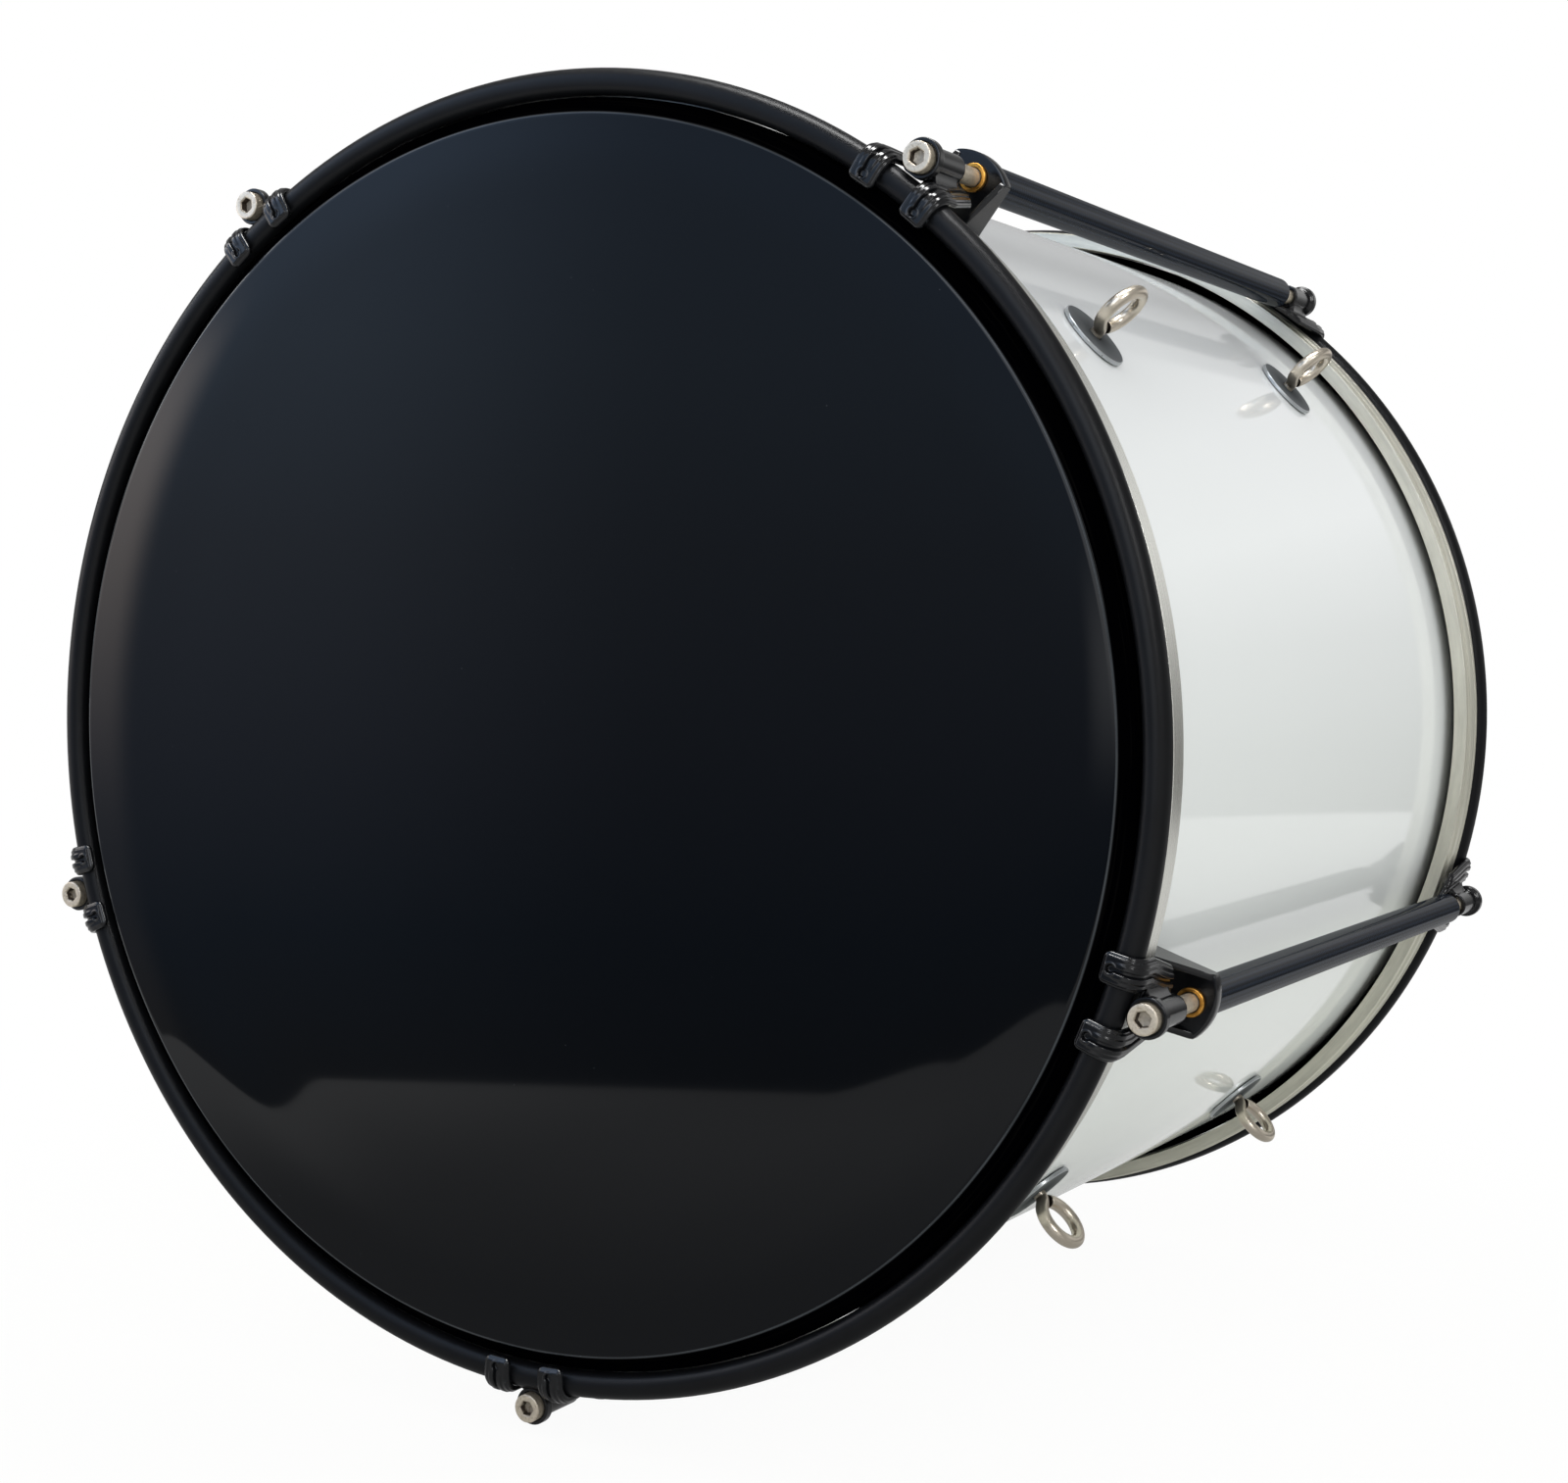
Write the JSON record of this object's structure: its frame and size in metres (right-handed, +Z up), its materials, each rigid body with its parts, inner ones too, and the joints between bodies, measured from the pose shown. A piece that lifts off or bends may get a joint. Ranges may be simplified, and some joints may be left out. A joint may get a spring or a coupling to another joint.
{
  "type": "marching bass drum",
  "caption": "Round drum worn with its axis level: white shell, dark film at both ends held by tube hoops and claw hooks, tension screws, long lug tubes and harness eyes.",
  "frame": {"origin": "the drum's centre: on its axis, half way between the two films", "axes": "+Y along the drum's axis from the front head to the rear head, +X towards the player and the harness eyes, +Z up as worn"},
  "size_m": [0.6022, 0.5136, 0.6122],
  "materials": {
    "shell_wrap": "plywood shell under a white gloss wrap",
    "head_film": "blue-black plastic film with soft reflections",
    "bright_ring": "bright brushed aluminium band",
    "black_hoop": "satin black coated tube",
    "black_casting": "satin black die casting",
    "screw_steel": "plated steel, turned face and knurled side",
    "woven_tube": "glossy black tube with a fine weave",
    "bush_brass": "turned brass",
    "eye_nickel": "warm nickel plate",
    "washer_steel": "grey zinc plate with a bright edge"
  },
  "bodies": {
    "drum_frame": {"shell": "shell_wrap", "lug_tube_1": "woven_tube", "bracket_1": "black_casting", "bush_front_1": "bush_brass", "insert_rear_1": "bush_brass", "lug_tube_2": "woven_tube", "bracket_2": "black_casting", "bush_front_2": "bush_brass", "insert_rear_2": "bush_brass", "lug_tube_3": "woven_tube", "bracket_3": "black_casting", "bush_front_3": "bush_brass", "insert_rear_3": "bush_brass", "lug_tube_4": "woven_tube", "bracket_4": "black_casting", "bush_front_4": "bush_brass", "insert_rear_4": "bush_brass", "lug_tube_5": "woven_tube", "bracket_5": "black_casting", "bush_front_5": "bush_brass", "insert_rear_5": "bush_brass", "eye_upper_front": "eye_nickel", "eye_washer_upper_front": "washer_steel", "eye_nut_upper_front": "washer_steel", "eye_upper_rear": "eye_nickel", "eye_washer_upper_rear": "washer_steel", "eye_nut_upper_rear": "washer_steel", "eye_lower_front": "eye_nickel", "eye_washer_lower_front": "washer_steel", "eye_nut_lower_front": "washer_steel", "eye_lower_rear": "eye_nickel", "eye_washer_lower_rear": "washer_steel", "eye_nut_lower_rear": "washer_steel"},
    "front_rim": {"head_front": "head_film", "flesh_ring_front": "bright_ring", "hoop_front": "black_hoop", "claw_front_1": "black_casting", "claw_front_2": "black_casting", "claw_front_3": "black_casting", "claw_front_4": "black_casting", "claw_front_5": "black_casting"},
    "front_screw_1": {"screw_front_1": "screw_steel"},
    "front_screw_2": {"screw_front_2": "screw_steel"},
    "front_screw_3": {"screw_front_3": "screw_steel"},
    "front_screw_4": {"screw_front_4": "screw_steel"},
    "front_screw_5": {"screw_front_5": "screw_steel"},
    "rear_rim": {"head_rear": "head_film", "flesh_ring_rear": "bright_ring", "hoop_rear": "black_hoop", "claw_rear_1": "black_casting", "claw_rear_2": "black_casting", "claw_rear_3": "black_casting", "claw_rear_4": "black_casting", "claw_rear_5": "black_casting"},
    "rear_screw_1": {"screw_rear_1": "screw_steel"},
    "rear_screw_2": {"screw_rear_2": "screw_steel"},
    "rear_screw_3": {"screw_rear_3": "screw_steel"},
    "rear_screw_4": {"screw_rear_4": "screw_steel"},
    "rear_screw_5": {"screw_rear_5": "screw_steel"}
  },
  "joints": [
    {"name": "front_rim_slide", "type": "slide", "parent": "drum_frame", "child": "front_rim", "axis": [0, -1, 0], "range_m": [0, 0.006]},
    {"name": "front_screw_1_turn", "type": "hinge", "parent": "front_rim", "child": "front_screw_1", "pos_m": [0, -0.2475, -0.3049], "axis": [0, -1, 0], "range_deg": [0, 1729]},
    {"name": "front_screw_2_turn", "type": "hinge", "parent": "front_rim", "child": "front_screw_2", "pos_m": [0.28998, -0.2475, -0.09422], "axis": [0, -1, 0], "range_deg": [0, 1729]},
    {"name": "front_screw_3_turn", "type": "hinge", "parent": "front_rim", "child": "front_screw_3", "pos_m": [0.17922, -0.2475, 0.24667], "axis": [0, -1, 0], "range_deg": [0, 1729]},
    {"name": "front_screw_4_turn", "type": "hinge", "parent": "front_rim", "child": "front_screw_4", "pos_m": [-0.17922, -0.2475, 0.24667], "axis": [0, -1, 0], "range_deg": [0, 1729]},
    {"name": "front_screw_5_turn", "type": "hinge", "parent": "front_rim", "child": "front_screw_5", "pos_m": [-0.28998, -0.2475, -0.09422], "axis": [0, -1, 0], "range_deg": [0, 1729]},
    {"name": "rear_rim_slide", "type": "slide", "parent": "drum_frame", "child": "rear_rim", "axis": [0, 1, 0], "range_m": [0, 0.006]},
    {"name": "rear_screw_1_turn", "type": "hinge", "parent": "rear_rim", "child": "rear_screw_1", "pos_m": [0, 0.2475, -0.3049], "axis": [0, 1, 0], "range_deg": [0, 1729]},
    {"name": "rear_screw_2_turn", "type": "hinge", "parent": "rear_rim", "child": "rear_screw_2", "pos_m": [0.28998, 0.2475, -0.09422], "axis": [0, 1, 0], "range_deg": [0, 1729]},
    {"name": "rear_screw_3_turn", "type": "hinge", "parent": "rear_rim", "child": "rear_screw_3", "pos_m": [0.17922, 0.2475, 0.24667], "axis": [0, 1, 0], "range_deg": [0, 1729]},
    {"name": "rear_screw_4_turn", "type": "hinge", "parent": "rear_rim", "child": "rear_screw_4", "pos_m": [-0.17922, 0.2475, 0.24667], "axis": [0, 1, 0], "range_deg": [0, 1729]},
    {"name": "rear_screw_5_turn", "type": "hinge", "parent": "rear_rim", "child": "rear_screw_5", "pos_m": [-0.28998, 0.2475, -0.09422], "axis": [0, 1, 0], "range_deg": [0, 1729]}
  ],
  "couplings": [
    {"joint": "front_screw_1_turn", "follows": "front_rim_slide", "rad_per_m": 5026.5},
    {"joint": "front_screw_2_turn", "follows": "front_rim_slide", "rad_per_m": 5026.5},
    {"joint": "front_screw_3_turn", "follows": "front_rim_slide", "rad_per_m": 5026.5},
    {"joint": "front_screw_4_turn", "follows": "front_rim_slide", "rad_per_m": 5026.5},
    {"joint": "front_screw_5_turn", "follows": "front_rim_slide", "rad_per_m": 5026.5},
    {"joint": "rear_screw_1_turn", "follows": "rear_rim_slide", "rad_per_m": 5026.5},
    {"joint": "rear_screw_2_turn", "follows": "rear_rim_slide", "rad_per_m": 5026.5},
    {"joint": "rear_screw_3_turn", "follows": "rear_rim_slide", "rad_per_m": 5026.5},
    {"joint": "rear_screw_4_turn", "follows": "rear_rim_slide", "rad_per_m": 5026.5},
    {"joint": "rear_screw_5_turn", "follows": "rear_rim_slide", "rad_per_m": 5026.5}
  ]
}
